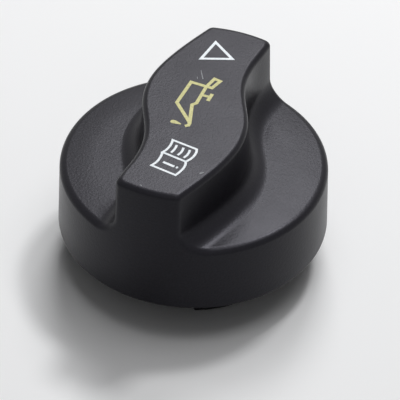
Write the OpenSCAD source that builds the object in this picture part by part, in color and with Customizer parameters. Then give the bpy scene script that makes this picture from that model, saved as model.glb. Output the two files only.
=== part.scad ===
// Oil filler cap with a bayonet foot: a moulded knob body, a bayonet insert and a sealing ring.
// Lengths are in millimetres and angles in degrees. Z runs up the axis of the cap, the foot
// stands at z = 0, and the long axis of the grip lies along Y.

/* [Skirt] */
// Diameter of the body at the lower edge of the skirt
skirt_d = 66; // [62:0.2:74]
// Taper of the round wall, which the skirt and the grip's two ends share
draft = 1.5; // [0.5:0.1:2.5]
// Height of the shoulder above the lower edge of the skirt
shoulder_h = 18; // [16:0.5:24]
// Fall of the shoulder from the grip out to its rim
shoulder_fall = 0.3; // [0.1:0.05:0.8]
// Rounding of the edge that runs round the shoulder and up the grip's corners
edge_r = 1.6; // [0.8:0.1:2.2]
// Rounding of the skirt's lower edge
skirt_edge_r = 0.5; // [0.2:0.1:1]
// Wall thickness of the body
wall = 2.4; // [1.8:0.1:3]

/* [Grip] */
// Height of the grip above the shoulder
grip_h = 16.6; // [12:0.2:22]
// Width of the grip at its two ends
grip_end_w = 16.4; // [13:0.2:20]
// Rounding of the grip's top edge
grip_edge_r = 1.3; // [0.6:0.1:2]
// Taper of the grip's long sides
side_draft = 1.4; // [0.5:0.1:3]
// Hollow rounding between the grip's sides and the shoulder
grip_fillet_r = 5; // [2:0.25:7]
// Reach of each swelling from the middle of the grip
swell_reach = 14.6; // [12:0.2:17]
// Place of each swelling's peak along the grip
swell_at = 7.5; // [4:0.5:10]
// Angle at which a swollen side leaves its end
swell_flare = 23; // [10:1:30]
// Reach of each hollow from the middle of the grip
hollow_reach = 7.3; // [5.5:0.1:9]
// Place of each hollow's deepest point along the grip
hollow_at = 19.3; // [17:0.1:22]
// Angle at which a hollow side leaves its end
hollow_flare = 2; // [-4:1:12]

/* [Inner ribs] */
// Number of gussets under the shoulder on each side of the grip
gussets = 4; // [3:1:4]
// Distance between the plates that cross the inside of the grip
cross_rib_pitch = 14; // [8:0.5:20]
// Thickness of each rib
rib_t = 1.4; // [1:0.1:2]

/* [Bayonet insert] */
// Step from the sealing ring's groove in to the stem
stem_inset = 4.3; // [3.8:0.1:6]
// Wall thickness of the stem
stem_wall = 2.6; // [2:0.1:3.5]
// How far the stem reaches below the skirt
stem_reach = 10.6; // [8:0.2:16]
// Thickness of the flange
flange_t = 2.6; // [2:0.1:3.5]
// Height of the flange's underside above the lower edge of the skirt
flange_rise = 8; // [6:0.25:9]
// How far each lug stands out from the stem
lug_reach = 3.5; // [2.2:0.1:3.8]
// Height of each lug
lug_h = 4.2; // [3:0.1:5.5]
// Angle that each lug spans
lug_span = 54; // [30:1:80]
// Angle at which the first lug begins
lug_start = -68.6; // [-90:0.1:0]
// Height of the lugs above the foot
lug_lift = 0.4; // [0.2:0.1:2]
// Slope of the face by which each lug draws the cap down
lug_ramp = 5; // [2:0.5:8]
// Width of the driving fork that straddles the middle rib
fork_w = 12; // [8:0.5:16]
// Height of the driving fork above the flange
fork_h = 7; // [4:0.25:10]
// Thickness of each arm of the driving fork
fork_t = 2; // [1.4:0.1:3]

/* [Sealing ring] */
// Width of the flange's lip outside the groove
groove_lip = 1.37; // [1:0.01:3]
// Width of the sealing ring, from its inner to its outer edge
ring_w = 4.6; // [3:0.1:5]
// Height of the sealing ring
ring_h = 3.4; // [2.6:0.1:4.5]
// Depth of the groove that holds the sealing ring
groove_depth = 1; // [0.6:0.1:1.4]
// Bevel of the ring's lower edges, which leaves a narrow face to seal on the neck
ring_bevel = 0.9; // [0.4:0.1:1.4]

/* [Fits] */
// Gap between the flange and the skirt
flange_gap = 0.25; // [0.15:0.05:0.5]
// Gap between the sealing ring and the walls of its groove
ring_gap = 0.1; // [0.05:0.05:0.2]
// Overlap of the skirt's retaining bead under the flange's edge
bead_hold = 0.4; // [0.3:0.05:0.8]
// Gap between the insert's driving fork and the rib that it straddles
fork_gap = 0.2; // [0.1:0.05:0.4]

/* [Hidden] */
$fn = 96;

// Length of a cut's or a wall's overrun past the face that it crosses
over = 1;

// Steps along each part of the grip's outline: long side, corner, end
side_steps = 13;
corner_steps = 4;
end_steps = 8;
// Levels through each rounding of the body
round_steps = 4;
fillet_steps = 7;

// Bevels: inside the skirt's lower edge, along the insert's edges, and in its inner corners
lead_in = 0.5;
edge_bevel = 0.5;
root_bevel = 1;

// Pull of the outline's curves: out of an end, into a swelling, through the bend, into a hollow
end_pull = 8.3;
swell_pull = 6.6;
bend_pull = 12;
hollow_pull = 4;

// Heights above the foot
skirt_z = stem_reach;
shoulder_z = skirt_z + shoulder_h;
top_z = shoulder_z + grip_h;
flange_z = skirt_z + flange_rise;
flange_top_z = flange_z + flange_t;

// Radius of the body's outer wall at a height, before any rounding
function wall_r(z) = skirt_d / 2 - (z - skirt_z) * tan(draft);
end_r = wall_r(top_z);
skirt_in_r = wall_r(flange_z) - wall;
flange_r = wall_r(flange_top_z) - wall - flange_gap;

// A point on a cubic curve with end points a and d and pulls b and c
function curve(a, b, c, d, t) =
    a * pow(1 - t, 3) + 3 * b * pow(1 - t, 2) * t + 3 * c * (1 - t) * t * t + d * pow(t, 3);
function curve_points(a, b, c, d, n) = [for (i = [0:n - 1]) curve(a, b, c, d, i / n)];
function heading(angle) = [cos(angle), sin(angle)];

// Outline of the grip's top: one swollen and hollow side, the far end with its two corners,
// and then the same again turned half round
corner_x = grip_end_w / 2 - edge_r;
corner_y = sqrt(pow(end_r - edge_r, 2) - corner_x * corner_x);
corner_angle = atan2(corner_y, corner_x);
side_from = [corner_x, -corner_y] + edge_r * heading(-swell_flare);
side_to = [corner_x, corner_y] + edge_r * heading(-hollow_flare);
swell_peak = [swell_reach, -swell_at];
hollow_floor = [hollow_reach, hollow_at];
side_curve = concat(
    curve_points(side_from, side_from + end_pull * heading(90 - swell_flare),
        swell_peak - [0, swell_pull], swell_peak, side_steps),
    curve_points(swell_peak, swell_peak + [0, bend_pull],
        hollow_floor - [0, bend_pull], hollow_floor, side_steps),
    curve_points(hollow_floor, hollow_floor + [0, hollow_pull],
        side_to - hollow_pull * heading(90 - hollow_flare), side_to, side_steps)
);
end_curve = concat(
    [for (i = [0:corner_steps - 1])
        let (a = -hollow_flare + (corner_angle + hollow_flare) * i / corner_steps)
        [corner_x, corner_y] + edge_r * heading(a)],
    [for (i = [0:end_steps - 1])
        end_r * heading(corner_angle + (180 - 2 * corner_angle) * i / end_steps)],
    [for (i = [0:corner_steps - 1])
        let (a = 180 - corner_angle + (corner_angle - swell_flare) * i / corner_steps)
        [-corner_x, corner_y] + edge_r * heading(a)]
);
half_outline = concat(side_curve, end_curve);
outline = concat(half_outline, -half_outline);
rays = len(outline);

// Outward direction square to the outline at each of its points
function turned(v) = [v[1], -v[0]] / norm(v);
outward = [for (i = [0:rays - 1])
    turned(outline[(i + 1) % rays] - outline[(i + rays - 1) % rays])];

// A point on the grip's side and the direction square to it, by which each ray measures the side.
// Rays at an end use the straight run of the nearer side past its corner.
half_sides = concat(
    [for (i = [0:len(side_curve) - 1]) [outline[i], outward[i]]],
    [for (i = [0:len(end_curve) - 1]) i < len(end_curve) / 2
        ? [side_to, heading(-hollow_flare)]
        : [-side_from, heading(180 - swell_flare)]]
);
sides = concat(half_sides, -half_sides);

// How far a point stands outside the round wall at its height
function past_wall(p, z, inset) = norm(p) - wall_r(z) + inset;

// Height of the shoulder under a point: it rises from the rim's rounding inwards, then runs level
fall_run = 8;
function floor_z(p, inset) =
    let (from_rim = wall_r(shoulder_z) - edge_r - inset - norm(p))
    shoulder_z + shoulder_fall * min(1, max(0, from_rim / fall_run));

// How far it stands outside the grip's side, the hollow rounding and the shoulder,
// and how far that surface's direction lies level there
function past_side(i, p, z, inset) =
    let (
        r = grip_fillet_r + inset,
        u = (p - sides[i][0]) * sides[i][1] + inset - (top_z - z) * tan(side_draft),
        w = z + inset - floor_z(p, inset),
        d = norm([r - u, r - w])
    )
    w >= r ? [u, 1] : u >= r ? [w, 0] : [r - d, (r - u) / d];

// Both together, with the edge between them rounded to radius r, whatever angle they meet at
function past_skin(i, p, z, inset, r) =
    let (
        side = past_side(i, p, z, inset),
        a = past_wall(p, z, inset) + r,
        b = side[0] + r,
        c = side[1] * (sides[i][1] * p) / norm(p)
    )
    a > b * c && b > a * c ? sqrt((a * a + b * b - 2 * a * b * c) / (1 - c * c)) - r
    : max(a, b) - r;

// Span of each ray that holds the skin, and how many times it is halved to find it
search_from = -hollow_reach - wall;
search_to = skirt_d;
halvings = 25;

// Reach of the skin along a ray at a height
function skin_reach(i, z, inset, r, low = search_from, high = search_to, n = halvings) =
    let (mid = (low + high) / 2)
    n == 0 ? mid
    : past_skin(i, outline[i] + mid * outward[i], z, inset, r) > 0
        ? skin_reach(i, z, inset, r, low, mid, n - 1)
        : skin_reach(i, z, inset, r, mid, high, n - 1);

// Inset of a rounding of radius r at a depth below its start
function rounding(r, depth) = r - sqrt(max(0, r * r - pow(r - depth, 2)));

// One closed ring of the skin
function ring(z, inset, r) = [for (i = [0:rays - 1])
    let (p = outline[i] + skin_reach(i, z, inset, r) * outward[i])
    [p[0], p[1], z]];

// Heights of the outer rings from the lower edge up, each with the extra inset of its edge.
// The rings next to the shoulder keep a hair's breadth off its plane, so that each finds its own side.
hair = 0.01;
fillet_from = shoulder_z + shoulder_fall;
outer_rings = concat(
    [[skirt_z, skirt_edge_r], [skirt_z + skirt_edge_r, 0]],
    [for (i = [0:round_steps]) [shoulder_z - max(hair, edge_r * cos(90 * i / round_steps)), 0]],
    [for (i = [0:fillet_steps])
        [fillet_from + max(hair, grip_fillet_r * (1 - cos(90 * i / fillet_steps))), 0]],
    [for (i = [0:round_steps])
        let (depth = grip_edge_r * (1 - sin(90 * i / round_steps)))
        [top_z - depth, rounding(grip_edge_r, depth)]]
);

// The same for the inner skin, with the bead that holds the flange
inner_fillet_r = grip_fillet_r + wall;
inner_edge_r = 0.4;
bead_reach = flange_gap + bead_hold;
inner_rings = concat(
    [
        [skirt_z, -lead_in],
        [skirt_z + 2 * lead_in, 0],
        [flange_z - 3 * bead_reach, 0],
        [flange_z - bead_reach, bead_reach],
        [flange_z - bead_reach / 2, bead_reach],
        [flange_z, 0],
        [shoulder_z - wall - hair, 0]
    ],
    [for (i = [0:round_steps])
        let (rise = max(hair, inner_fillet_r * (1 - cos(90 * i / round_steps))))
        [fillet_from - wall + rise, 0]],
    [[top_z - wall, 0]]
);

// Stack of rings as one list of points, and the faces between two rings
function stack(rings, inset, r) =
    [for (level = rings) for (p = ring(level[0], inset + level[1], r)) p];
function strip(first, second) = [for (i = [0:rays - 1])
    let (j = (i + 1) % rays)
    for (f = [[first + i, second + i, second + j], [first + i, second + j, first + j]]) f];
// Flat lid over a ring: rungs from each long side to the other, and a fan over each end
lid_from = len(side_curve);
lid_to = rays / 2;
function lid(first) = concat(
    [for (i = [0:lid_from - 1])
        let (across = lid_from + lid_to - i)
        for (f = [[i, across, across - 1], [i, across - 1, i + 1]])
            [for (k = f) first + k]],
    [for (half = [0, lid_to])
        for (i = [lid_from + 1:lid_to - 1])
            [for (k = [lid_from, i + 1, i]) first + (k + half) % rays]]
);
function flipped(faces) = [for (f = faces) [f[0], f[2], f[1]]];
function stack_faces(first, count) =
    [for (k = [0:count - 2]) for (f = strip(first + k * rays, first + (k + 1) * rays)) f];

// One closed solid between an outer and an inner skin, which meet along the skirt's lower edge
module shell(outer, inner) {
    outer_count = len(outer);
    inner_count = len(inner);
    first_inner = outer_count * rays;
    points = concat(stack(outer, 0, edge_r), stack(inner, wall, inner_edge_r));
    polyhedron(points, concat(
        stack_faces(0, outer_count),
        lid(first_inner - rays),
        flipped(stack_faces(first_inner, inner_count)),
        flipped(lid(first_inner + (inner_count - 1) * rays)),
        flipped(strip(0, first_inner))));
}

// Gusset from the grip's side out to the skirt, square to the side, along one ray
module gusset(i) {
    translate([outline[i][0], outline[i][1], flange_top_z])
        rotate([0, 0, atan2(outward[i][1], outward[i][0])])
            translate([0, -rib_t / 2, 0])
                cube([
                    skin_reach(i, flange_top_z, wall / 2, inner_edge_r),
                    rib_t,
                    shoulder_z - wall / 2 - flange_top_z
                ]);
}

// Reach of the grip's side from the middle of the grip, at a place along it
function side_at(y) = lookup(y, [for (p = side_curve) [p[1], p[0]]]);

// Plate across the inside of the grip, from side to side and up to the roof
module cross_rib(y) {
    left = -side_at(-y) + wall / 2;
    right = side_at(y) - wall / 2;
    translate([left, y - rib_t / 2, flange_top_z])
        cube([right - left, rib_t, top_z - wall / 2 - flange_top_z]);
}

// Body moulding: outer and inner skin, with the ribs between them
module cap_body() {
    color([0.13, 0.135, 0.14])
        union() {
            shell(outer_rings, inner_rings);
            for (side = [0:1])
                for (k = [1:gussets])
                    gusset(side * rays / 2 + round(k * len(side_curve) / (gussets + 1)));
            for (k = [-1:1])
                cross_rib(k * cross_rib_pitch);
        }
}

// Turned part of the insert: flange, groove for the ring, and hollow stem.
// Its radii follow one another inwards from the flange's edge.
groove_out_r = flange_r - groove_lip;
ring_out_r = groove_out_r - ring_gap;
ring_in_r = ring_out_r - ring_w;
groove_in_r = ring_in_r - ring_gap;
stem_r = groove_in_r - stem_inset;
stem_in_r = stem_r - stem_wall;
lug_r = stem_r + lug_reach;
groove_z = flange_z + groove_depth;
insert_profile = [
    [0, flange_top_z],
    [flange_r - edge_bevel, flange_top_z],
    [flange_r, flange_top_z - edge_bevel],
    [flange_r, flange_z],
    [groove_out_r, flange_z],
    [groove_out_r, groove_z],
    [groove_in_r, groove_z],
    [groove_in_r, flange_z],
    [stem_r + root_bevel, flange_z],
    [stem_r, flange_z - root_bevel],
    [stem_r, edge_bevel],
    [stem_r - edge_bevel, 0],
    [stem_in_r, 0],
    [stem_in_r, flange_z - root_bevel],
    [stem_in_r - root_bevel, flange_z],
    [0, flange_z]
];

// Bayonet lug, whose upper face slopes down towards its leading end
module lug() {
    difference() {
        rotate_extrude(angle = lug_span)
            translate([stem_r - stem_wall / 2, lug_lift])
                square([lug_reach + stem_wall / 2, lug_h]);
        rotate([0, 0, lug_span / 2])
            translate([0, 0, lug_lift + lug_h])
                rotate([lug_ramp, 0, 0])
                    translate([stem_r, -lug_r, 0])
                        cube([lug_r, 2 * lug_r, lug_r]);
    }
}

// Insert moulding: flange and stem, two lugs, and the fork that the body's middle rib drives
module bayonet_insert() {
    color([0.16, 0.16, 0.165])
        union() {
            rotate_extrude()
                polygon(insert_profile);
            for (k = [0:1])
                rotate([0, 0, lug_start + 180 * k])
                    lug();
            for (k = [-1, 1])
                translate([0, k * (rib_t + fork_t + 2 * fork_gap) / 2, flange_top_z - over])
                    translate([-fork_w / 2, -fork_t / 2, 0])
                        cube([fork_w, fork_t, fork_h + over]);
        }
}

// Rubber ring: square above, where the groove holds it, and bevelled to its sealing face below
module sealing_ring() {
    face_z = groove_z - ring_h;
    color([0.08, 0.08, 0.08])
        rotate_extrude()
            polygon([
                [ring_in_r, groove_z],
                [ring_out_r, groove_z],
                [ring_out_r, face_z + ring_bevel],
                [ring_out_r - ring_bevel, face_z],
                [ring_in_r + ring_bevel, face_z],
                [ring_in_r, face_z + ring_bevel]
            ]);
}

cap_body();
bayonet_insert();
sealing_ring();
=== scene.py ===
"""Looks of an oil filler cap: grip body, bayonet insert, sealing ring and the signs on the grip.

The classes hold millimetres and the meshes metres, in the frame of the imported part: Z runs up the
axis of the cap, the foot stands at z = 0 and the long axis of the grip lies along Y.
"""

import logging
import math
from collections.abc import Callable, Sequence
from dataclasses import dataclass, field
from enum import Enum
from functools import cache, partial
from typing import Any

import bpy
import numpy as np
from mathutils import Matrix, Vector


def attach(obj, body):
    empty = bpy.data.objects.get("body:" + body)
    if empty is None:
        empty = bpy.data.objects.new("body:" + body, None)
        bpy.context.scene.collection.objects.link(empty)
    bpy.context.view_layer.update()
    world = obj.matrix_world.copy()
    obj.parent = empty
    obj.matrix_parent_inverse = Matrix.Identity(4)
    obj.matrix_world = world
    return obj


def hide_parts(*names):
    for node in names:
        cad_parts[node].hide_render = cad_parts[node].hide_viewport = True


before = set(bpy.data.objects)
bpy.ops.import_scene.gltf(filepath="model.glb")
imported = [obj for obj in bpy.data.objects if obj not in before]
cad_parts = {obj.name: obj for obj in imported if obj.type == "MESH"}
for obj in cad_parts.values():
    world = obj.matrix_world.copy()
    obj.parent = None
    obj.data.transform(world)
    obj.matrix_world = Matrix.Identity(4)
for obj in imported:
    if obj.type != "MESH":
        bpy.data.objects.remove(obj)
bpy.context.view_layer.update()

MM = 0.001
TINY = 1e-9
CREASE = 35.0
INK_FILM = 0.016
LOG = logging.getLogger("filler_cap")

Plan = tuple[float, float]
Place = tuple[float, float, float]
Faces = list[list[int]]


def linear(colour: str) -> tuple[float, float, float, float]:
    """Turns an sRGB hex colour to linear light.

    Args:
        colour: six hex digits, with or without a leading #.

    Returns:
        Red, green, blue and full opacity.
    """
    digits = colour.lstrip("#")
    parts = [int(digits[i : i + 2], 16) / 255 for i in (0, 2, 4)]
    light = [p / 12.92 if p <= 0.04045 else ((p + 0.055) / 1.055) ** 2.4 for p in parts]
    return (light[0], light[1], light[2], 1.0)


def add_node(
    tree: bpy.types.NodeTree,
    kind: str,
    inputs: dict[str | int, Any] | None = None,
    **settings: Any,
) -> bpy.types.Node:
    """Adds a node with its settings and its inputs.

    Args:
        tree: the tree that gets the node.
        kind: Blender's name for the node type.
        inputs: for each input's name or place, its value, or the socket or node that feeds it.
        settings: attributes of the node.

    Returns:
        The node.
    """
    node = tree.nodes.new(kind)
    for name, value in settings.items():
        setattr(node, name, value)
    for key, value in (inputs or {}).items():
        if isinstance(value, bpy.types.Node):
            value = value.outputs[0]
        if isinstance(value, bpy.types.NodeSocket):
            tree.links.new(value, node.inputs[key])
        else:
            node.inputs[key].default_value = value
    return node


def emptied(owner: bpy.types.Material | bpy.types.World) -> Callable[..., bpy.types.Node]:
    """Empties the node tree of a material or a world.

    Args:
        owner: the material or the world.

    Returns:
        A function that adds a node to the tree.
    """
    owner.use_nodes = True
    owner.node_tree.nodes.clear()
    return partial(add_node, owner.node_tree)


def put(name: str, data: bpy.types.ID) -> bpy.types.Object:
    """Puts a new object in the scene.

    Args:
        name: name of the object.
        data: its mesh, lamp or camera.

    Returns:
        The object.
    """
    thing = bpy.data.objects.new(name, data)
    bpy.context.scene.collection.objects.link(thing)
    return thing


def seed_mesh(
    name: str,
    points: Sequence[Place],
    edges: Sequence[tuple[int, int]] = (),
    **values: Sequence[Any],
) -> bpy.types.Mesh:
    """Makes the points or lines that a Geometry Nodes tree starts from.

    Args:
        name: name of the mesh.
        points: their places in millimetres.
        edges: pairs of point numbers.
        values: attributes, each with one number, or one size in millimetres, for each point.

    Returns:
        The mesh.
    """
    mesh = bpy.data.meshes.new(name)
    mesh.from_pydata((np.array(points) * MM).tolist(), list(edges), [])
    for title, numbers in values.items():
        kind, slot, flat = "FLOAT", "value", list(numbers)
        if np.ndim(numbers) > 1:
            kind, slot, flat = "FLOAT_VECTOR", "vector", (np.array(numbers) * MM).ravel().tolist()
        mesh.attributes.new(title, kind, "POINT").data.foreach_set(slot, flat)
    return mesh


def strips(first: int, rows: int, width: int) -> Faces:
    """Faces between closed rows of points that follow one another.

    Args:
        first: number of the first point.
        rows: how many rows there are.
        width: points in each row.

    Returns:
        The faces.
    """
    return [
        [a + i, a + (i + 1) % width, a + width + (i + 1) % width, a + width + i]
        for a in range(first, first + (rows - 1) * width, width)
        for i in range(width)
    ]


def quarter(steps: int) -> np.ndarray:
    """Angles of a quarter turn, evenly spaced."""
    return np.linspace(0, math.pi / 2, steps)


def solid(
    name: str,
    points: np.ndarray,
    faces: Faces,
    material: bpy.types.Material,
    crease: float = CREASE,
) -> bpy.types.Object:
    """Makes a piece at the origin from points in millimetres.

    Args:
        name: name of the piece.
        points: one row of three numbers for each point.
        faces: rings of point numbers, anticlockwise from outside.
        material: the piece's finish.
        crease: angle in degrees above which an edge stays sharp.

    Returns:
        The piece.
    """
    mesh = bpy.data.meshes.new(name)
    mesh.from_pydata((np.asarray(points, float) * MM).tolist(), [], faces)
    mesh.update()
    mesh.shade_smooth()
    mesh.set_sharp_from_angle(angle=math.radians(crease))
    mesh.materials.append(material)
    return put(name, mesh)


def seat(piece: bpy.types.Object, slot: str, *nodes: str) -> bpy.types.Object:
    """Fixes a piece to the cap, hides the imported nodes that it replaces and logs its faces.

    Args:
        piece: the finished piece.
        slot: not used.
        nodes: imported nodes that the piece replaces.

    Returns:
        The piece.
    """
    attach(piece, "root")
    if nodes:
        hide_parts(*nodes)
    LOG.info("%s: %d faces", piece.name, len(piece.data.polygons))
    return piece


# Finishes


@dataclass(frozen=True)
class MouldedFinish:
    """A moulded plastic or rubber skin with the fine grain that its tool gives it."""

    name: str
    colour: str
    worn: str
    roughness: float
    specular: float
    grain_mm: float
    grain_depth_mm: float
    grain_strength: float
    mottle_mm: float
    mottle: float
    sheen: str = "#ffffff"
    ior: float = 1.5
    pits_per_grain: float = 0.7
    relief_span: Plan = (0.5, 1.25)
    patch_span: Plan = (0.3, 0.7)

    def material(self) -> bpy.types.Material:
        """Builds the material.

        Returns:
            The material.
        """
        material = bpy.data.materials.new(self.name)
        add = emptied(material)
        place = add("ShaderNodeTexCoord").outputs["Object"]
        grain = add(
            "ShaderNodeTexNoise",
            {"Vector": place, "Scale": 1 / (self.grain_mm * MM), "Detail": 2.0, "Roughness": 0.6},
        )
        pits = add(
            "ShaderNodeTexVoronoi",
            {"Vector": place, "Scale": self.pits_per_grain / (self.grain_mm * MM)},
            feature="SMOOTH_F1",
        )
        relief = add("ShaderNodeMath", {0: grain, 1: pits}, operation="ADD")
        patch = add(
            "ShaderNodeTexNoise",
            {"Vector": place, "Scale": 1 / (self.mottle_mm * MM), "Detail": 4.0},
        )
        low, high = self.relief_span
        share = add("ShaderNodeMapRange", {"Value": relief, "From Min": low, "From Max": high})
        blend = add(
            "ShaderNodeMix",
            {0: share, 6: linear(self.colour), 7: linear(self.worn)},
            data_type="RGBA",
        )
        low, high = self.patch_span
        gloss = add(
            "ShaderNodeMapRange",
            {
                "Value": patch,
                "From Min": low,
                "From Max": high,
                "To Min": self.roughness - self.mottle,
                "To Max": self.roughness + self.mottle,
            },
        )
        depth = self.grain_depth_mm * MM
        shader = add(
            "ShaderNodeBsdfPrincipled",
            {
                "Base Color": blend.outputs[2],
                "Roughness": gloss,
                "IOR": self.ior,
                "Specular IOR Level": self.specular,
                "Specular Tint": linear(self.sheen),
                "Normal": add(
                    "ShaderNodeBump",
                    {"Strength": self.grain_strength, "Distance": depth, "Height": relief},
                ),
            },
        )
        add("ShaderNodeOutputMaterial", {"Surface": shader})
        return material


@dataclass(frozen=True)
class PrintingInk:
    """Opaque pad-printing ink: a thin, even, slightly glossy film that thins here and there."""

    name: str
    colour: str
    thin: str
    roughness: float = 0.42
    ior: float = 1.49
    speckle_mm: float = 0.5
    speckle_depth_mm: float = 0.02
    film_span: Plan = (0.35, 0.65)

    def material(self) -> bpy.types.Material:
        """Builds the material.

        Returns:
            The material.
        """
        material = bpy.data.materials.new(self.name)
        add = emptied(material)
        place = add("ShaderNodeTexCoord").outputs["Object"]
        film = add(
            "ShaderNodeTexNoise",
            {"Vector": place, "Scale": 1 / (self.speckle_mm * MM), "Detail": 3.0},
        )
        low, high = self.film_span
        share = add("ShaderNodeMapRange", {"Value": film, "From Min": low, "From Max": high})
        blend = add(
            "ShaderNodeMix",
            {0: share, 6: linear(self.thin), 7: linear(self.colour)},
            data_type="RGBA",
        )
        depth = self.speckle_depth_mm * MM
        bump = add("ShaderNodeBump", {"Strength": 0.2, "Distance": depth, "Height": film})
        shader = add(
            "ShaderNodeBsdfPrincipled",
            {
                "Base Color": blend.outputs[2],
                "Roughness": self.roughness,
                "IOR": self.ior,
                "Normal": bump,
            },
        )
        add("ShaderNodeOutputMaterial", {"Surface": shader})
        return material


class Finish(Enum):
    """The finishes of the cap's pieces."""

    # Black glass-filled nylon from a spark-eroded tool: an even, dull, finely pitted skin with a
    # cool sheen. The real pits are about 0.1 mm wide, too fine to show, so they are drawn coarser.
    BODY = MouldedFinish(
        "glass_filled_nylon_spark_eroded", colour="#040306", worn="#0e0d12", sheen="#f1f0ff",
        roughness=0.33, specular=0.22, mottle=0.02, mottle_mm=9.0,
        grain_mm=0.38, grain_depth_mm=0.028, grain_strength=0.7,
    )
    # The same nylon from a plain milled tool: a smoother skin, which shows faint patches of gloss
    INSERT = MouldedFinish(
        "glass_filled_nylon_plain_moulded", colour="#100f13", worn="#1a191d",
        roughness=0.4, specular=0.3, mottle=0.06, mottle_mm=6.0,
        grain_mm=0.6, grain_depth_mm=0.02, grain_strength=0.25,
    )
    # Black nitrile rubber, press moulded: dull, with a faint bloom
    RING = MouldedFinish(
        "nitrile_rubber_press_moulded", colour="#131313", worn="#1d1d1e",
        roughness=0.62, specular=0.35, mottle=0.06, mottle_mm=4.0,
        grain_mm=0.5, grain_depth_mm=0.02, grain_strength=0.3,
    )
    # White and pale yellow two-part ink, pad printed: opaque, with a faint gloss
    WHITE_INK = PrintingInk("pad_print_ink_white", "#edf1f4", "#d6dfe5")
    YELLOW_INK = PrintingInk("pad_print_ink_pale_yellow", "#c5c07c", "#aeaa66")
    # The nylon's skin where it is rubbed: a lighter, rougher grey
    SCUFF = MouldedFinish(
        "glass_filled_nylon_scuffed", colour="#77797d", worn="#8c8e92",
        roughness=0.6, specular=0.3, mottle=0.04, mottle_mm=3.0,
        grain_mm=0.34, grain_depth_mm=0.03, grain_strength=0.4,
    )


@cache
def finish_of(finish: Finish) -> bpy.types.Material:
    """Builds a finish's material once and hands it out after that.

    Args:
        finish: the finish.

    Returns:
        Its material.
    """
    return finish.value.material()


# Geometry Nodes


class NodeTool:
    """A Geometry Nodes tree that turns a mesh of points or lines into finished geometry."""

    def __init__(self, name: str, inputs: Sequence[tuple[str, str, float]]) -> None:
        """Starts the tree.

        Args:
            name: name of the tree.
            inputs: name, socket type and default of each size that the tree takes.
        """
        self.tree = bpy.data.node_groups.new(name, "GeometryNodeTree")
        face = self.tree.interface
        face.new_socket("Geometry", in_out="INPUT", socket_type="NodeSocketGeometry")
        face.new_socket("Finish", in_out="INPUT", socket_type="NodeSocketMaterial")
        for title, kind, default in inputs:
            face.new_socket(title, in_out="INPUT", socket_type=kind).default_value = default
        face.new_socket("Geometry", in_out="OUTPUT", socket_type="NodeSocketGeometry")
        self.add = partial(add_node, self.tree)
        self.given = self.add("NodeGroupInput").outputs

    def end(self, geometry: bpy.types.Node) -> None:
        """Ends the tree: instances made real, finish set.

        Args:
            geometry: the node that made what the tree gives.
        """
        real = self.add("GeometryNodeRealizeInstances", {"Geometry": geometry})
        dressed = self.add(
            "GeometryNodeSetMaterial", {"Geometry": real, "Material": self.given["Finish"]}
        )
        self.add("NodeGroupOutput", {"Geometry": dressed})

    def attribute(self, name: str, kind: str = "FLOAT") -> bpy.types.NodeSocket:
        """Reads a named attribute of the input's points."""
        reader = self.add("GeometryNodeInputNamedAttribute", {"Name": name}, data_type=kind)
        return reader.outputs["Attribute"]

    def run(
        self, name: str, seeds: bpy.types.Mesh, finish: Finish, sizes: dict[str, float]
    ) -> bpy.types.Object:
        """Runs the tree on a mesh and keeps the result as a plain piece.

        Args:
            name: name of the piece.
            seeds: points or lines, with their attributes.
            finish: the piece's finish.
            sizes: values of the tree's inputs by name.

        Returns:
            The piece.
        """
        carrier = put(name + "_seed", seeds)
        live = carrier.modifiers.new("nodes", "NODES")
        live.node_group = self.tree
        values = {**sizes, "Finish": finish_of(finish)}
        for socket in self.tree.interface.items_tree:
            if socket.in_out == "INPUT" and socket.name in values:
                live[socket.identifier] = values[socket.name]
        graph = bpy.context.evaluated_depsgraph_get()
        mesh = bpy.data.meshes.new_from_object(carrier.evaluated_get(graph))
        carrier.modifiers.remove(live)
        bpy.data.objects.remove(carrier)
        mesh.name = name
        for extra in [a.name for a in mesh.attributes if a.name in ("turn", "size", "spread")]:
            mesh.attributes.remove(mesh.attributes[extra])
        mesh.shade_smooth()
        mesh.set_sharp_from_angle(angle=math.radians(CREASE))
        return put(name, mesh)


class PlateTool(NodeTool):
    """Sets a thin drafted plate at each point, turned and sized by the point's attributes."""

    def __init__(self) -> None:
        """Builds the tree."""
        super().__init__("plates_on_points", [("Root share", "NodeSocketFloat", 1.0)])
        add = self.add
        # A unit block that starts at the point and stands on it
        block = add("GeometryNodeMeshCube", {"Size": (1.0, 1.0, 1.0)})
        placed = add(
            "GeometryNodeTransform", {"Geometry": block, "Translation": (0.5, 0.0, 0.5)}
        )
        spot = add("ShaderNodeSeparateXYZ", {0: add("GeometryNodeInputPosition")}).outputs
        share = add(
            "ShaderNodeMapRange",
            {"Value": spot["Z"], "To Min": 1.0, "To Max": self.given["Root share"]},
        )
        width = add("ShaderNodeMath", {0: spot["Y"], 1: share}, operation="MULTIPLY")
        drafted = add("ShaderNodeCombineXYZ", {"X": spot["X"], "Y": width, "Z": spot["Z"]})
        plate = add("GeometryNodeSetPosition", {"Geometry": placed, "Position": drafted})
        angle = add("ShaderNodeCombineXYZ", {"Z": self.attribute("turn")})
        copies = add(
            "GeometryNodeInstanceOnPoints",
            {
                "Points": self.given["Geometry"],
                "Instance": plate,
                "Rotation": add("FunctionNodeEulerToRotation", {"Euler": angle}),
                "Scale": self.attribute("size", "FLOAT_VECTOR"),
            },
        )
        self.end(copies)


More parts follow.
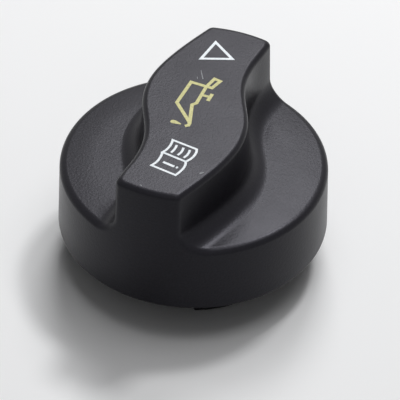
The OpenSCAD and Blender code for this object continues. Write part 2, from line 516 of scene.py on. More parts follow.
class StrokeTool(NodeTool):
    """Lays a flat ribbon of ink along each line, mitred at its corners."""

    def __init__(self) -> None:
        """Builds the tree."""
        sizes = [("Width", "NodeSocketFloat", MM), ("Film", "NodeSocketFloat", INK_FILM * MM)]
        super().__init__("ink_along_lines", sizes)
        lines = self.add("GeometryNodeMeshToCurve", {"Mesh": self.given["Geometry"]})
        section = self.add(
            "GeometryNodeCurvePrimitiveQuadrilateral",
            {"Width": self.given["Width"], "Height": self.given["Film"]},
        )
        ribbon = self.add(
            "GeometryNodeCurveToMesh",
            {
                "Curve": self.add("GeometryNodeSetCurveNormal", {"Curve": lines}, mode="Z_UP"),
                "Profile Curve": section,
                "Scale": self.attribute("spread"),
                "Fill Caps": True,
            },
        )
        self.end(ribbon)


# Body


@dataclass
class GripBody:
    """Body moulding: round skirt, shoulder and S-shaped grip, cored out from below, with ribs."""

    skirt_z: float = 10.6
    skirt_d: float = 66.0
    draft: float = 1.5
    shoulder_h: float = 18.0
    shoulder_fall: float = 0.3
    fall_run: float = 8.0
    edge_r: float = 1.6
    skirt_edge_r: float = 0.5
    wall: float = 2.4
    inner_edge_r: float = 0.4
    lead_in: float = 0.5
    flange_rise: float = 8.0
    flange_t: float = 2.6
    bead_reach: float = 0.65
    grip_h: float = 16.6
    grip_end_w: float = 16.4
    grip_edge_r: float = 1.3
    side_draft: float = 1.4
    grip_fillet_r: float = 5.0
    swell_peak: Plan = (14.6, -7.5)
    hollow_floor: Plan = (7.3, 19.3)
    swell_flare: float = 23.0
    hollow_flare: float = 2.0
    end_pull: float = 8.3
    swell_pull: float = 6.6
    bend_pull: float = 12.0
    hollow_pull: float = 4.0
    gussets: int = 4
    cross_rib_pitch: float = 14.0
    rib_t: float = 1.4
    rib_root: float = 1.15
    ink_room: float = 0.05
    lid_inset: float = 0.15
    crease: float = 50.0
    side_steps: int = 60
    corner_steps: int = 10
    end_steps: int = 36
    # How many rings stand in each rounding, and at which shares of the way others stand
    foot_rings: int = 6
    rim_rings: int = 11
    hollow_rings: int = 20
    top_rings: int = 10
    slope_shares: Sequence[float] = (0.04, 0.15, 0.3, 0.5, 0.7, 0.85, 0.96)
    bead_shares: Sequence[float] = (0.2, 0.5, 0.8, 1.0)
    wall_bands: Sequence[float] = (0.03, 0.5, 0.97)
    hollow_bands: Sequence[float] = (0.05, 0.35, 0.65, 0.95)
    side_bands: Sequence[float] = (0.05, 0.5, 0.95)
    # The least height between the rings at the rim, and between those at the hollow's foot
    rim_gap: float = 0.0001
    ring_gap: float = 0.01
    # The rays: half the spine's length, over how many neighbours they are evened, how far the
    # skin is looked for along them, and how often that reach is halved
    spine_reach: float = 18.0
    evening: int = 15
    search: Plan = (-12.0, 40.0)
    halvings: int = 34
    outline: np.ndarray = field(init=False)
    outward: np.ndarray = field(init=False)
    ray_out: np.ndarray = field(init=False)
    ray_in: np.ndarray = field(init=False)
    side_point: np.ndarray = field(init=False)
    side_way: np.ndarray = field(init=False)

    def __post_init__(self) -> None:
        """Works out the grip's outline, the rays through it and the side that each ray meets."""
        half, side, end = self._half_outline()
        self.outline = np.vstack([half, -half])
        run = np.roll(self.outline, -1, 0) - np.roll(self.outline, 1, 0)
        self.outward = np.column_stack([run[:, 1], -run[:, 0]])
        self.outward /= np.linalg.norm(self.outward, axis=1)[:, None]
        self.ray_out, self.ray_in = self._rays()
        counts = [end // 2, end - end // 2]
        flares = [self.heading(-self.hollow_flare), self.heading(180 - self.swell_flare)]
        start, stop = self._side_ends()
        points = np.vstack([half[:side], np.repeat([stop, -start], counts, axis=0)])
        ways = np.vstack([self.outward[:side], np.repeat(flares, counts, axis=0)])
        self.side_point = np.vstack([points, -points])
        self.side_way = np.vstack([ways, -ways])

    def _rays(self) -> tuple[np.ndarray, np.ndarray]:
        """Aims a ray through each point of the outline, so that no two cross.

        Returns:
            Directions out, to evened places on the round wall, and directions out from a spine.
        """
        across = (self.outline * self.outward).sum(1)
        far = np.sqrt(across**2 - (self.outline**2).sum(1) + self.skirt_d**2 / 4) - across
        hit = self.outline + far[:, None] * self.outward
        turn = np.unwrap(np.arctan2(hit[:, 1], hit[:, 0]))
        steps = np.diff(turn, append=turn[0] + 2 * math.pi)
        n = self.evening
        even = np.cumsum(sum(np.roll(steps, k) for k in range(-n, n + 1)) / (2 * n + 1))
        even += (turn - even).mean()
        out = np.column_stack([np.cos(even), np.sin(even)]) * self.skirt_d / 2 - self.outline
        along = np.clip(self.outline[:, 1], -self.spine_reach, self.spine_reach)
        from_spine = self.outline - np.column_stack([np.zeros(len(along)), along])
        out /= np.linalg.norm(out, axis=1)[:, None]
        from_spine /= np.linalg.norm(from_spine, axis=1)[:, None]
        return out, from_spine

    @property
    def shoulder_z(self) -> float:
        """Height of the shoulder's rim."""
        return self.skirt_z + self.shoulder_h

    @property
    def top_z(self) -> float:
        """Height of the grip's top, under the ink's film."""
        return self.shoulder_z + self.grip_h - self.ink_room

    @property
    def flange_top_z(self) -> float:
        """Height of the insert's flange, where the ribs end."""
        return self.skirt_z + self.flange_rise + self.flange_t

    @staticmethod
    def heading(angle: float) -> np.ndarray:
        """Direction at an angle in degrees."""
        return np.array([math.cos(math.radians(angle)), math.sin(math.radians(angle))])

    def wall_r(self, z: float) -> float:
        """Radius of the drafted round wall at a height."""
        return self.skirt_d / 2 - (z - self.skirt_z) * math.tan(math.radians(self.draft))

    def _corner(self) -> tuple[float, float, float]:
        """Finds the outline's far right corner.

        Returns:
            Its centre, and the angle at which it meets the end.
        """
        end_r = self.wall_r(self.shoulder_z + self.grip_h)
        x = self.grip_end_w / 2 - self.edge_r
        y = math.sqrt((end_r - self.edge_r) ** 2 - x * x)
        return x, y, math.degrees(math.atan2(y, x))

    def _side_ends(self) -> tuple[np.ndarray, np.ndarray]:
        """Finds where the right side starts, at the near end, and where it stops, at the far one.

        Returns:
            The two points.
        """
        x, y, _ = self._corner()
        start = np.array([x, -y]) + self.edge_r * self.heading(-self.swell_flare)
        stop = np.array([x, y]) + self.edge_r * self.heading(-self.hollow_flare)
        return start, stop

    def _half_outline(self) -> tuple[np.ndarray, int, int]:
        """Draws the right side and the far end of the grip's outline.

        Returns:
            The points, and how many belong to the side and to the end.
        """
        swell, hollow = np.array(self.swell_peak), np.array(self.hollow_floor)
        first, last = self._side_ends()
        up = np.array([0.0, 1.0])
        leave = self.end_pull * self.heading(90 - self.swell_flare)
        arrive = self.hollow_pull * self.heading(90 - self.hollow_flare)
        cubics = [
            (first, first + leave, swell - self.swell_pull * up, swell),
            (swell, swell + self.bend_pull * up, hollow - self.bend_pull * up, hollow),
            (hollow, hollow + self.hollow_pull * up, last - arrive, last),
        ]
        t = (np.arange(self.side_steps) / self.side_steps)[:, None]
        s = 1 - t
        side = np.vstack(
            [a * s**3 + 3 * b * s**2 * t + 3 * c * s * t**2 + d * t**3 for a, b, c, d in cubics]
        )
        x, y, corner = self._corner()
        end_r = self.wall_r(self.shoulder_z + self.grip_h)
        e, n = self.edge_r, self.corner_steps
        arcs = [
            (np.array([x, y]), e, -self.hollow_flare, corner, n),
            (np.zeros(2), end_r, corner, 180 - corner, self.end_steps),
            (np.array([-x, y]), e, 180 - corner, 180 - self.swell_flare, n),
        ]
        end = np.vstack(
            [
                [centre + r * self.heading(a + (b - a) * i / n) for i in range(n)]
                for centre, r, a, b, n in arcs
            ]
        )
        return np.vstack([side, end]), len(side), len(end)

    def _past_side(self, p: np.ndarray, z: float, inset: float) -> tuple[np.ndarray, np.ndarray]:
        """How far points stand outside the grip's side, the hollow rounding and the shoulder.

        Args:
            p: points, one on each ray.
            z: their height.
            inset: how far the skin lies inside the outer one.

        Returns:
            The distances, and how level the surface's direction lies there.
        """
        r = self.grip_fillet_r + inset
        rise = math.tan(math.radians(self.side_draft)) * (self.shoulder_z + self.grip_h - z)
        u = ((p - self.side_point) * self.side_way).sum(1) + inset - rise
        from_rim = self.wall_r(self.shoulder_z) - self.edge_r - inset - np.linalg.norm(p, axis=1)
        ease = np.sin(math.pi / 2 * np.clip(from_rim / self.fall_run, 0, 1))
        w = z + inset - self.shoulder_z - self.shoulder_fall * ease
        d = np.hypot(r - u, r - w)
        side = np.where(w >= r, u, np.where(u >= r, w, r - d))
        return side, np.where(w >= r, 1.0, np.where(u >= r, 0.0, (r - u) / np.maximum(d, TINY)))

    def _past_skin(self, p: np.ndarray, z: float, inset: float, edge: float) -> np.ndarray:
        """How far points stand outside the whole skin.

        Args:
            p: points, one on each ray.
            z: their height.
            inset: how far the skin lies inside the outer one.
            edge: rounding of the edge between wall and top.

        Returns:
            The distances.
        """
        side, level = self._past_side(p, z, inset)
        reach = np.linalg.norm(p, axis=1)
        a = reach - self.wall_r(z) + inset + edge
        b = side + edge
        c = level * (self.side_way * p).sum(1) / np.maximum(reach, TINY)
        span = np.maximum(a * a + b * b - 2 * a * b * c, 0) / np.maximum(1 - c * c, TINY)
        return np.where((a > b * c) & (b > a * c), np.sqrt(span), np.maximum(a, b)) - edge

    def ring(self, z: float, inset: float, edge: float) -> np.ndarray:
        """One closed ring of the skin.

        Args:
            z: its height.
            inset: how far it lies inside the outer skin.
            edge: rounding of the edge between wall and top.

        Returns:
            One point on each ray.
        """
        low, high = (np.full(len(self.outline), end) for end in self.search)
        for _ in range(self.halvings):
            mid = ((low + high) / 2)[:, None]
            plan = self.outline + mid * np.where(mid > 0, self.ray_out, self.ray_in)
            out = self._past_skin(plan, z, inset, edge) > 0
            low, high = np.where(out, low, mid[:, 0]), np.where(out, mid[:, 0], high)
        return np.column_stack([plan, np.full(len(plan), z)])

    def outer_rings(self) -> list[np.ndarray]:
        """Rings of the outer skin.

        Returns:
            The rings, from the skirt's lower edge up and in over the grip's top.
        """
        e, f, g = self.edge_r, self.skirt_edge_r, self.grip_edge_r
        foot = [
            (self.skirt_z + f * (1 - math.cos(t)), f * (1 - math.sin(t)))
            for t in quarter(self.foot_rings)
        ]
        rim = [
            (self.shoulder_z - max(self.rim_gap, e * math.cos(t)), 0.0)
            for t in quarter(self.rim_rings)
        ]
        slope = [(self.shoulder_z + self.shoulder_fall * share, 0.0) for share in self.slope_shares]
        base = self.shoulder_z + self.shoulder_fall
        hollow = [
            (base + max(self.ring_gap, self.grip_fillet_r * (1 - math.cos(t))), 0.0)
            for t in quarter(self.hollow_rings)
        ]
        top = [
            (self.top_z - g * (1 - math.sin(t)), g * (1 - math.cos(t)))
            for t in quarter(self.top_rings)
        ]
        top.append((self.top_z, g + self.lid_inset))
        rings = [self.ring(z, inset, e) for z, inset in foot + rim + slope + hollow + top]
        wall, shoulder = len(foot) - 1, len(foot) + len(rim) + len(slope) - 1
        side = shoulder + len(hollow)
        # More rings between some of them, so that the shading turns only near a rounding
        gaps = {wall: self.wall_bands, shoulder: self.hollow_bands, side: self.side_bands}
        full: list[np.ndarray] = []
        for i, here in enumerate(rings):
            full.append(here)
            full += [here + (rings[i + 1] - here) * share for share in gaps.get(i, ())]
        return full

    def inner_rings(self) -> list[np.ndarray]:
        """Rings of the inner skin, with the bead that holds the flange.

        Returns:
            The rings, from the lower edge up.
        """
        flange_z = self.skirt_z + self.flange_rise
        reach = self.bead_reach
        levels = [
            (self.skirt_z, -self.lead_in),
            (self.skirt_z + 2 * self.lead_in, 0.0),
            (flange_z - 3 * reach, 0.0),
        ]
        levels += [
            (flange_z - reach * (2 - t), reach * math.sin(math.pi / 2 * t))
            for t in self.bead_shares
        ]
        levels += [
            (flange_z - reach / 2, reach),
            (flange_z, 0.0),
            (self.shoulder_z - self.wall - self.ring_gap, 0.0),
        ]
        base = self.shoulder_z + self.shoulder_fall - self.wall
        curve = self.grip_fillet_r + self.wall
        levels += [
            (base + max(self.ring_gap, curve * (1 - math.cos(t))), 0.0)
            for t in quarter(self.hollow_rings // 2)
        ]
        levels.append((self.top_z - self.wall, 0.0))
        return [self.ring(z, self.wall + extra, self.inner_edge_r) for z, extra in levels]

    def _lid(self, first: int) -> Faces:
        """Closes a ring with rungs from side to side, and on across each end.

        Args:
            first: number of the ring's first point.

        Returns:
            The faces.
        """
        rays = len(self.outline)
        half = rays // 2
        side = 3 * self.side_steps
        last = side + half
        rungs = [
            [first + i, first + i + 1, first + (last - i - 1) % rays, first + last - i]
            for i in range(side)
        ]
        ends = [
            [first + (k + turn) % rays for k in dict.fromkeys((i, i + 1, last - i - 1, last - i))]
            for turn in (0, half)
            for i in range(side, last // 2)
        ]
        return rungs + ends

    def shell(self) -> tuple[np.ndarray, Faces]:
        """The whole moulded skin, outside and inside, as one closed mesh.

        Returns:
            The points and the faces.
        """
        outer, inner = self.outer_rings(), self.inner_rings()
        rays = len(self.outline)
        start = len(outer) * rays
        inside = strips(start, len(inner), rays) + self._lid(start + (len(inner) - 1) * rays)
        faces = strips(0, len(outer), rays) + self._lid(start - rays) + [f[::-1] for f in inside]
        faces += [[i, start + i, start + (i + 1) % rays, (i + 1) % rays] for i in range(rays)]
        return np.vstack(outer + inner), faces

    def rib_seeds(self) -> bpy.types.Mesh:
        """Points at the roots of the gussets and of the plates that cross the grip.

        Returns:
            A mesh of points, each with the turn and the size of its rib.
        """
        half, side = len(self.outline) // 2, 3 * self.side_steps
        places, turns, sizes = [], [], []
        under_shoulder = self.shoulder_z - self.wall / 2 - self.flange_top_z
        reach = self.ring(self.flange_top_z, self.wall / 2, self.inner_edge_r)[:, :2]
        for start in (0, half):
            for k in range(1, self.gussets + 1):
                i = start + round(k * side / (self.gussets + 1))
                places.append((*self.outline[i], self.flange_top_z))
                turns.append(math.atan2(self.outward[i][1], self.outward[i][0]))
                length = float(np.linalg.norm(reach[i] - self.outline[i]))
                sizes.append((length, self.rib_t, under_shoulder))
        right = self.outline[:side]
        for y in (-self.cross_rib_pitch, 0.0, self.cross_rib_pitch):
            to = float(np.interp(y, right[:, 1], right[:, 0])) - self.wall / 2
            back = -float(np.interp(-y, right[:, 1], right[:, 0])) + self.wall / 2
            places.append((back, y, self.flange_top_z))
            turns.append(0.0)
            sizes.append((to - back, self.rib_t, self.top_z - self.wall / 2 - self.flange_top_z))
        return seed_mesh("rib_seeds", places, turn=turns, size=sizes)

    def build(self, plates: PlateTool) -> list[bpy.types.Object]:
        """Makes the body and its ribs.

        Args:
            plates: the tool that sets the ribs.

        Returns:
            The pieces.
        """
        points, faces = self.shell()
        body = solid("grip_body", points, faces, finish_of(Finish.BODY), self.crease)
        sizes = {"Root share": self.rib_root}
        ribs = plates.run("grip_body_ribs", self.rib_seeds(), Finish.BODY, sizes)
        return [seat(body, "body", "cap_body"), seat(ribs, "body")]


# Insert and ring


def rounded(profile: Sequence[Sequence[float]], steps: int = 5, closed: bool = False) -> list[Plan]:
    """Rounds the corners of a profile.

    Args:
        profile: radius, height and rounding of each corner.
        steps: points in each rounding, less one.
        closed: whether the last corner joins the first.

    Returns:
        The profile's points.
    """
    count = len(profile)
    line: list[Plan] = []
    for i, (x, z, r) in enumerate(profile):
        here = np.array([x, z])
        if r <= 0 or (not closed and i in (0, count - 1)):
            line.append((x, z))
            continue
        back = np.array(profile[i - 1][:2]) - here
        on = np.array(profile[(i + 1) % count][:2]) - here
        back, on = back / np.linalg.norm(back), on / np.linalg.norm(on)
        half = math.acos(float(np.clip(back @ on, -1, 1))) / 2
        cut = r / math.tan(half)
        middle = here + (back + on) / np.linalg.norm(back + on) * r / math.sin(half)
        a, b = here + back * cut - middle, here + on * cut - middle
        turn = math.pi - 2 * half
        for k in range(steps + 1):
            t = k / steps
            p = middle + (math.sin((1 - t) * turn) * a + math.sin(t * turn) * b) / math.sin(turn)
            line.append((float(p[0]), float(p[1])))
    return line


def turned(line: Sequence[Plan], closed: bool, steps: int = 180) -> tuple[np.ndarray, Faces]:
    """Turns a profile round the axis of the cap.

    Args:
        line: radius and height of the profile's points, clockwise round the material.
        closed: whether the last point joins the first; if not, both lie on the axis.
        steps: how many times the profile is drawn round.

    Returns:
        The points and the faces.
    """
    angles = np.arange(steps) * 2 * math.pi / steps
    points: list[Sequence[float]] = []
    rows: list[list[int]] = []
    for r, z in line:
        first = len(points)
        if r < TINY:
            points.append((0.0, 0.0, z))
            rows.append([first] * steps)
            continue
        points += [(r * math.cos(a), r * math.sin(a), z) for a in angles]
        rows.append(list(range(first, first + steps)))
    faces = []
    for here, there in zip(rows, rows[1:] + rows[:1] if closed else rows[1:]):
        for i in range(steps):
            j = (i + 1) % steps
            ring = [here[i], there[i], there[j], here[j]]
            faces.append([v for k, v in enumerate(ring) if v != ring[k - 1]])
    return np.array(points, float), faces


@dataclass
class BayonetInsert:
    """Inner moulding: flange with the ring's groove, hollow stem, two lugs and the driving fork."""

    flange_top_z: float = 21.2
    flange_z: float = 18.6
    groove_z: float = 19.6
    flange_r: float = 30.07
    groove_in_r: float = 23.9
    groove_out_r: float = 28.7
    stem_r: float = 19.6
    stem_wall: float = 2.6
    lug_r: float = 23.1
    lug_lift: float = 0.4
    lug_h: float = 4.2
    lug_span: float = 54.0
    lug_start: float = -68.6
    lug_ramp: float = 5.0
    lug_edge: float = 0.4
    lug_stops: int = 28
    fork_w: float = 12.0
    fork_h: float = 7.0
    fork_t: float = 2.0
    fork_gap: float = 1.8
    fork_sunk: float = 0.5
    fork_root: float = 0.9
    flange_edges: Plan = (0.5, 0.15)
    groove_lip: float = 0.12
    groove_corner: float = 0.2
    stem_corner: float = 1.0
    foot_edges: Plan = (0.5, 0.3)

    def profile(self) -> list[Plan]:
        """Half section of the flange and the stem.

        Returns:
            Radius and height of its points, from the axis on top round to the axis below.
        """
        inner = self.stem_r - self.stem_wall
        corners = [
            (0, self.flange_top_z, 0),
            (self.flange_r, self.flange_top_z, self.flange_edges[0]),
            (self.flange_r, self.flange_z, self.flange_edges[1]),
            (self.groove_out_r, self.flange_z, self.groove_lip),
            (self.groove_out_r, self.groove_z, self.groove_corner),
            (self.groove_in_r, self.groove_z, self.groove_corner),
            (self.groove_in_r, self.flange_z, self.groove_lip),
            (self.stem_r, self.flange_z, self.stem_corner),
            (self.stem_r, 0, self.foot_edges[0]),
            (inner, 0, self.foot_edges[1]),
            (inner, self.flange_z, self.stem_corner),
            (0, self.flange_z, 0),
        ]
        return rounded(corners)

    def lug(self, start: float) -> tuple[np.ndarray, Faces]:
        """One bayonet lug as a swept block with soft edges.

        Args:
            start: angle in degrees at which it begins.

        Returns:
            The points and the faces.
        """
        inner, outer, e = self.stem_r - self.stem_wall / 2, self.lug_r, self.lug_edge
        end = math.degrees(e / outer)
        inside = np.linspace(end, self.lug_span - end, self.lug_stops)
        stops = [(0.0, e)] + [(float(a), 0.0) for a in inside] + [(self.lug_span, e)]
        rows = []
        for angle, shrink in stops:
            tip = outer - shrink
            along = outer * math.sin(math.radians(angle - self.lug_span / 2))
            slope = along * math.tan(math.radians(self.lug_ramp))
            low = self.lug_lift + shrink
            high = self.lug_lift + self.lug_h + min(0.0, slope) - shrink
            corners = [(inner, low, 0), (tip, low, e), (tip, high, e), (inner, high, 0)]
            way = GripBody.heading(start + angle)
            section = rounded(corners, steps=4, closed=True)
            rows.append([(r * way[0], r * way[1], z) for r, z in section])
        width = len(rows[0])
        last = (len(rows) - 1) * width
        caps = [list(range(width))[::-1], [last + i for i in range(width)]]
        faces = [f[::-1] for f in strips(0, len(rows), width) + caps]
        return np.array(rows).reshape(-1, 3), faces

    def fork_seeds(self) -> bpy.types.Mesh:
        """Points at the roots of the fork's two arms.

        Returns:
            A mesh of points, each with the turn and the size of its arm.
        """
        y, root = (self.fork_t + self.fork_gap) / 2, self.flange_top_z - self.fork_sunk
        places = [(-self.fork_w / 2, side * y, root) for side in (-1, 1)]
        arm = (self.fork_w, self.fork_t, self.fork_h + self.fork_sunk)
        return seed_mesh("fork_seeds", places, turn=(0.0, 0.0), size=(arm, arm))

    def build(self, plates: PlateTool) -> list[bpy.types.Object]:
        """Makes the insert.

        Args:
            plates: the tool that sets the fork's arms.

        Returns:
            The pieces.
        """
        points, faces = turned(self.profile(), closed=False)
        for k in range(2):
            more, rings = self.lug(self.lug_start + 180 * k)
            faces += [[v + len(points) for v in f] for f in rings]
            points = np.vstack([points, more])
        insert = solid("stem_and_flange", points, faces, finish_of(Finish.INSERT))
        sizes = {"Root share": self.fork_root}
        fork = plates.run("driving_fork", self.fork_seeds(), Finish.INSERT, sizes)
        return [seat(insert, "insert", "bayonet_insert"), seat(fork, "insert")]


@dataclass
class SealingRing:
    """Rubber ring in the flange's groove, bevelled below to a narrow sealing face."""

    in_r: float = 24.0
    out_r: float = 28.6
    top_z: float = 19.6
    height: float = 3.4
    bevel: float = 0.9
    back_edge: float = 0.2
    face_edge: float = 0.25

    def build(self) -> list[bpy.types.Object]:
        """Makes the ring.

        Returns:
            The piece, in a list.
        """
        face = self.top_z - self.height
        corners = [
            (self.in_r, self.top_z, self.back_edge),
            (self.out_r, self.top_z, self.back_edge),
            (self.out_r, face + self.bevel, self.face_edge),
            (self.out_r - self.bevel, face, self.face_edge),
            (self.in_r + self.bevel, face, self.face_edge),
            (self.in_r, face + self.bevel, self.face_edge),
        ]
        points, faces = turned(rounded(corners, closed=True), closed=True)
        ring = solid("rubber_ring", points, faces, finish_of(Finish.RING))
        return [seat(ring, "ring", "sealing_ring")]


# Signs and wear


@dataclass(frozen=True)
class Stroke:
    """One line of a sign on the grip's top, in plan."""

    points: tuple[Plan, ...]
    closed: bool = False
    widths: tuple[float, ...] = ()


@dataclass(frozen=True)
class Sign:
    """A sign made of strokes of one width."""

    name: str
    finish: Finish
    width: float
    strokes: tuple[Stroke, ...]
    stroke_drop: float = 0.003
    longest_mitre: float = 2.6

    def seeds(self, z: float) -> bpy.types.Mesh:
        """Lines of the sign as mesh edges, each point with the spread of its mitre.

        Each stroke lies a hair lower than the last, so that two that cross don't share a plane.

        Args:
            z: height of the first line.

        Returns:
            The mesh.
        """
        points: list[Place] = []
        edges: list[tuple[int, int]] = []
        spreads: list[float] = []
        for order, stroke in enumerate(self.strokes):
            first, plan = len(points), np.array(stroke.points)
            count = len(plan)
            shares = stroke.widths or (1.0,) * count
            for i, p in enumerate(plan):
                points.append((float(p[0]), float(p[1]), z - self.stroke_drop * order))
                spread = 1.0
                if stroke.closed or 0 < i < count - 1:
                    a, b = p - plan[i - 1], plan[(i + 1) % count] - p
                    cos = float(a @ b / np.linalg.norm(a) / np.linalg.norm(b))
                    half = math.sqrt(max(TINY, (1 + cos) / 2))
                    spread = min(self.longest_mitre, 1 / half)
                spreads.append(spread * shares[i])
            edges += [(first + i, first + i + 1) for i in range(count - 1)]
            if stroke.closed:
                edges.append((first + count - 1, first))
        return seed_mesh(self.name + "_lines", points, edges, spread=spreads)

    def build(self, tool: StrokeTool, top: float) -> bpy.types.Object:
        """Lays the sign's ink.

        Args:
            tool: the tool that lays ink along lines.
            top: height of the ink.

        Returns:
            The piece.
        """
        sizes = {"Width": self.width * MM, "Film": INK_FILM * MM}
        return seat(tool.run(self.name, self.seeds(top), self.finish, sizes), "body")


SIGNS = (
    Sign("sign_triangle", Finish.WHITE_INK, 0.72, (
        Stroke(((-5.32, 18.06), (-4.21, 25.27), (1.77, 20.76)), closed=True),
    )),
    Sign("sign_oil_can", Finish.YELLOW_INK, 0.87, (
        Stroke((
            (-4.4, 8.89), (-4.85, 0.5), (0.1, -4.75), (0.72, -5.55), (0.72, -6.35), (0.02, -6.88),
        )),
        Stroke((
            (-4.4, 8.7), (-4.4, 8.89), (-0.37, 8.66), (-0.4, 1.98), (-1.18, 1.05), (0.25, -3.99),
            (0.7, -5.5),
        )),
        Stroke(((-0.37, 8.66), (0.45, 12.09), (2.03, 11.73), (1.06, 8.62)), closed=True),
        Stroke(((-0.3, 5.3), (1.7, 5.3)), widths=(0.9, 0.9)),
        Stroke(((1.92, 6.59), (1.8, 3.78)), widths=(1.0, 1.05)),
        Stroke((
            (-3.8, -6.44), (-3.6, -6.43), (-3.2, -6.4), (-2.6, -6.39), (-1.9, -6.47), (-1.1, -6.6),
        ), widths=(0.5, 1.1, 1.45, 1.25, 0.85, 0.35)),
    )),
    Sign("sign_booklet", Finish.WHITE_INK, 0.58, (
        Stroke((
            (-0.81, -12.71), (5.63, -13.74), (5.9, -14.6), (5.95, -15.6), (5.82, -16.6),
            (5.45, -17.7), (4.8, -18.83), (-1.5, -17.68), (-1.0, -16.7), (-0.75, -15.7),
            (-0.62, -14.6), (-0.66, -13.6),
        ), closed=True),
        Stroke((
            (-1.5, -17.68), (-1.35, -18.6), (-1.3, -19.6), (-1.38, -20.8), (-1.65, -21.9),
            (-2.19, -23.0), (4.28, -24.14), (4.75, -22.9), (5.05, -21.7), (5.17, -20.7),
            (5.1, -19.7), (4.8, -18.83),
        )),
        Stroke(((0.71, -14.03), (0.8, -14.9), (0.72, -16.0), (0.43, -17.05))),
        Stroke(((2.52, -14.34), (2.66, -15.2), (2.58, -16.3), (2.19, -17.33))),
        Stroke(((4.21, -14.55), (4.35, -15.4), (4.27, -16.5), (3.88, -17.68))),
        Stroke(((-0.1, -20.87), (2.92, -21.44)), widths=(1.15, 1.15)),
        Stroke(((3.38, -21.46), (3.84, -21.54)), widths=(1.15, 1.15)),
    )),
    # Rubbed lines above the can, a nick on the right edge and a speck on the near one
    Sign("scuff_lines", Finish.SCUFF, 0.28, (
        Stroke(((-3.77, 13.97), (-3.1, 12.7), (-2.12, 10.96)), widths=(0.3, 0.8, 0.9)),
        Stroke(((-3.73, 11.3), (-3.4, 10.5)), widths=(0.4, 0.6)),
        Stroke(((9.3, -21.62), (9.6, -21.28), (10.08, -20.69)), widths=(1.2, 2.0, 0.7)),
        Stroke(((-2.15, -30.4), (-1.62, -30.45)), widths=(0.9, 1.1)),
    )),
)


# Studio


@dataclass(frozen=True)
class Lamp:
    """A soft lamp that faces the cap: its angles in degrees, its sizes in metres, its watts."""

    name: str
    azimuth: float
    elevation: float
    distance: float
    size: Plan
    power: float


LAMPS = (
    Lamp("key_lamp", 70.6, 62.3, 1.1, (0.16, 0.16), 3.4),
    Lamp("back_softbox", 104.0, 52.0, 0.8, (0.24, 0.36), 2.6),
    Lamp("overhead_panel", 50.0, 80.0, 1.2, (0.9, 0.9), 4.6),
    Lamp("front_fill", -70.0, 50.0, 1.0, (0.8, 0.8), 0.45),
)


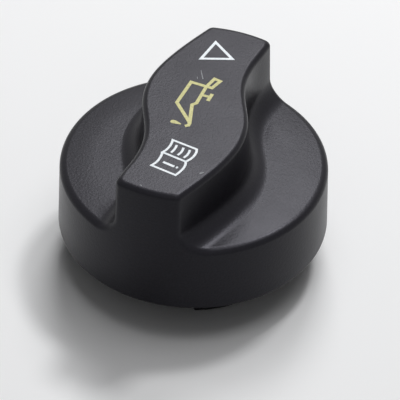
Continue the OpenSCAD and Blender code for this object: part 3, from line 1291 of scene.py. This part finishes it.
@dataclass
class Studio:
    """Pale floor, soft lamps and the camera at the photograph's angle."""

    floor_colours: tuple[str, str] = ("#f4f5f6", "#f7f7f8")
    floor_patches_per_metre: float = 12.0
    floor_reach: float = 3000.0
    floor_z: float = -0.02
    camera_at: Place = (202.79, -557.17, 547.67)
    azimuth: float = 19.838
    elevation: float = 41.889
    roll: float = 1.329
    lens: float = 292.9
    sensor: float = 36.0
    clip: Plan = (0.05, 50.0)
    target: Place = (0.0, 0.0, 24.0)
    background: float = 0.88
    surround: float = 0.08

    @staticmethod
    def direction(azimuth: float, elevation: float) -> Vector:
        """Direction from the object at an angle from +X and an elevation, in degrees."""
        a, e = math.radians(azimuth), math.radians(elevation)
        return Vector((math.cos(a) * math.cos(e), math.sin(a) * math.cos(e), math.sin(e)))

    def camera(self) -> None:
        """Puts the camera where the photograph was taken from."""
        data = bpy.data.cameras.new("camera")
        data.lens, data.sensor_width = self.lens, self.sensor
        data.clip_start, data.clip_end = self.clip
        camera = put("camera", data)
        back = self.direction(self.azimuth - 90, self.elevation)
        turn = (-back).to_track_quat("-Z", "Y").to_matrix().to_4x4()
        turn = turn @ Matrix.Rotation(math.radians(self.roll), 4, "Z")
        camera.matrix_world = Matrix.Translation(Vector(self.camera_at) * MM) @ turn
        bpy.context.scene.camera = camera

    def light(self, lamp: Lamp) -> None:
        """Puts up a lamp.

        Args:
            lamp: the lamp.
        """
        data = bpy.data.lights.new(lamp.name, "AREA")
        data.shape, data.energy = "RECTANGLE", lamp.power
        data.size, data.size_y = lamp.size
        way = self.direction(lamp.azimuth, lamp.elevation)
        turn = (-way).to_track_quat("-Z", "Y").to_matrix().to_4x4()
        place = Vector(self.target) * MM + way * lamp.distance
        put(lamp.name, data).matrix_world = Matrix.Translation(place) @ turn

    def world(self) -> None:
        """Sets an even surround, which shows as pale as the floor where it is seen."""
        world = bpy.data.worlds.new("surround")
        add = emptied(world)
        path = add("ShaderNodeLightPath").outputs
        seen = path["Is Camera Ray"]
        for ray in ("Is Glossy Ray", "Is Transmission Ray"):
            seen = add("ShaderNodeMath", {0: seen, 1: path[ray]}, operation="MAXIMUM")
        strength = add(
            "ShaderNodeMapRange",
            {"Value": seen, "To Min": self.surround, "To Max": self.background},
        )
        sky = add("ShaderNodeBackground", {"Color": linear("#ffffff"), "Strength": strength})
        add("ShaderNodeOutputWorld", {"Surface": sky})
        bpy.context.scene.world = world

    def floor(self) -> None:
        """Lays the pale floor, which is seen only from above."""
        material = bpy.data.materials.new("pale_matt_laminate")
        add = emptied(material)
        place = add("ShaderNodeTexCoord").outputs["Object"]
        tone = add(
            "ShaderNodeTexNoise",
            {"Vector": place, "Scale": self.floor_patches_per_metre, "Detail": 2.0},
        )
        first, second = (linear(colour) for colour in self.floor_colours)
        colour = add("ShaderNodeMix", {0: tone, 6: first, 7: second}, data_type="RGBA")
        paint = add("ShaderNodeBsdfDiffuse", {"Color": colour.outputs[2]})
        clear = add("ShaderNodeBsdfTransparent")
        under = add("ShaderNodeNewGeometry").outputs["Backfacing"]
        mix = add("ShaderNodeMixShader", {0: under, 1: paint, 2: clear})
        add("ShaderNodeOutputMaterial", {"Surface": mix})
        corners = [(-1, -1), (1, -1), (1, 1), (-1, 1)]
        points = [(x * self.floor_reach, y * self.floor_reach, self.floor_z) for x, y in corners]
        solid("floor", np.array(points), [[0, 1, 2, 3]], material)

    def build(self) -> None:
        """Sets up the whole studio."""
        self.camera()
        self.floor()
        self.world()
        for lamp in LAMPS:
            self.light(lamp)
        bpy.context.scene.view_settings.view_transform = "Standard"


def main() -> None:
    """Builds the cap and its studio and reports each piece."""
    logging.basicConfig(level=logging.INFO, format="%(name)s: %(message)s")
    plates, ink = PlateTool(), StrokeTool()
    body = GripBody()
    pieces = body.build(plates) + BayonetInsert().build(plates) + SealingRing().build()
    top = body.top_z + body.ink_room / 2
    pieces += [sign.build(ink, top) for sign in SIGNS]
    LOG.info("%d pieces", len(pieces))
    Studio().build()


if __name__ == "__main__":
    main()
